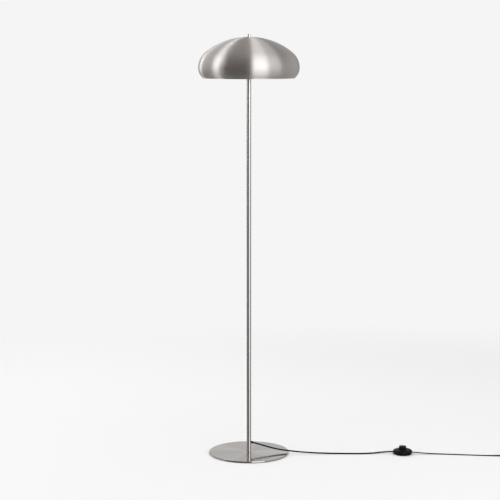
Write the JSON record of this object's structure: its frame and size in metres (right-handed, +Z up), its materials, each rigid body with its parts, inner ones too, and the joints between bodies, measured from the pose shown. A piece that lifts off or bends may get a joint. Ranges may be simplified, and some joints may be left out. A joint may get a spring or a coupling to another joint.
{
  "type": "mushroom floor lamp",
  "caption": "Floor lamp with a spun metal mushroom shade on a slim pole, a round flat base, and a flex with a round foot switch and a flat plug.",
  "frame": {"origin": "centre of the round base, on the floor", "axes": "+Z up along the pole, +X towards the side where the flex leaves the pole"},
  "size_m": [1.1738, 0.3498, 1.4766],
  "materials": {
    "brushed_metal": "satin brushed",
    "polished_metal": "polished",
    "hub_metal": "satin",
    "zinc": "zinc plated",
    "spring_steel": "plain",
    "brass": "plain",
    "cap_metal": "plain",
    "pin_metal": "nickel plated",
    "opal_glass": "opal",
    "black_plastic": "moulded satin",
    "switch_plastic": "satin",
    "white_plastic": "moulded",
    "flex": "satin PVC",
    "tie": "woven band",
    "pad": "foam"
  },
  "bodies": {
    "lamp": {"base_bolt": "zinc", "base_pad": "pad", "base_plate": "brushed_metal", "base_washer": "zinc", "bulb_cap_left": "cap_metal", "bulb_cap_right": "cap_metal", "bulb_globe_left": "opal_glass", "bulb_globe_right": "opal_glass", "coil_tie": "tie", "cord_bush": "black_plastic", "finial": "polished_metal", "flex_coil": "flex", "flex_in_pole": "flex", "flex_lamp_side": "flex", "flex_plug_side": "flex", "flex_tail": "flex", "hub_body": "hub_metal", "hub_cover": "hub_metal", "hub_terminal_block": "white_plastic", "lampholder_cap_left": "black_plastic", "lampholder_cap_right": "black_plastic", "lampholder_contact_left": "brass", "lampholder_contact_right": "brass", "lampholder_insulator_left": "white_plastic", "lampholder_insulator_right": "white_plastic", "lampholder_nipple_left": "zinc", "lampholder_nipple_right": "zinc", "lampholder_screw_shell_left": "brass", "lampholder_screw_shell_right": "brass", "lampholder_skirt_left": "black_plastic", "lampholder_skirt_right": "black_plastic", "plug_body": "black_plastic", "plug_pin_sleeves": "black_plastic", "plug_pins": "pin_metal", "plug_strain_relief": "black_plastic", "pole_coupler_1": "zinc", "pole_coupler_2": "zinc", "pole_foot_insert": "zinc", "pole_lower": "brushed_metal", "pole_middle": "brushed_metal", "pole_upper": "brushed_metal", "shade": "brushed_metal", "shade_nut": "zinc", "shade_rod": "zinc", "shade_washer_lower": "zinc", "shade_washer_upper": "polished_metal", "switch_base": "switch_plastic", "switch_contact_leaf": "brass", "switch_cord_clamps": "switch_plastic", "switch_cover": "switch_plastic", "switch_screws": "zinc", "switch_spring": "spring_steel", "switch_terminals": "brass"},
    "button": {"switch_button": "switch_plastic"}
  },
  "joints": [
    {"name": "switch_press", "type": "slide", "parent": "lamp", "child": "button", "axis": [0, 0, -1], "range_m": [0, 0.0035], "stiffness_N_per_m": 400, "springref_m": -0.002, "deforming": ["switch_spring"]}
  ]
}
